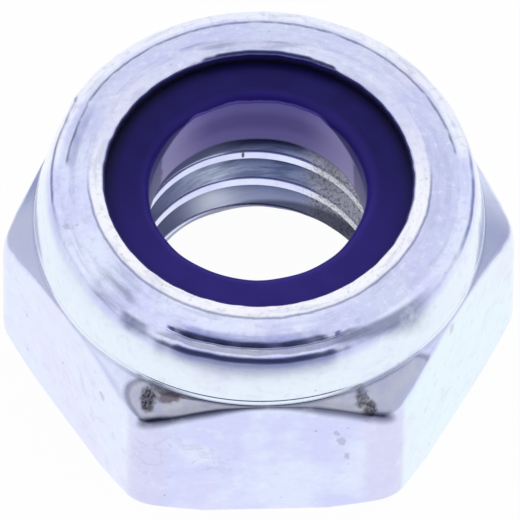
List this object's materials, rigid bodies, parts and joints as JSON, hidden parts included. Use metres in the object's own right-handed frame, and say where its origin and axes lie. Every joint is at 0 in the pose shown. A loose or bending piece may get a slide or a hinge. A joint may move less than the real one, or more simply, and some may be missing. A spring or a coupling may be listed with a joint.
{
  "type": "nylon insert lock nut",
  "caption": "Hexagon lock nut with a round collar rolled over a nylon ring that grips the screw's thread.",
  "frame": {"origin": "centre of the bearing face, on the axis of the thread", "axes": "+Z along the thread from the bearing face to the nylon end, -Y out of the front flat, +X out of a corner of the hexagon"},
  "size_m": [0.011, 0.0098, 0.0056],
  "materials": {
    "zinc_plated_steel": "bright zinc plating with a clear blue-white passivation, finely pitted",
    "blue_nylon": "dark violet-blue polyamide, smooth and slightly glossy"
  },
  "bodies": {
    "root": {"nut_body": "zinc_plated_steel", "nylon_ring": "blue_nylon"}
  },
  "joints": []
}
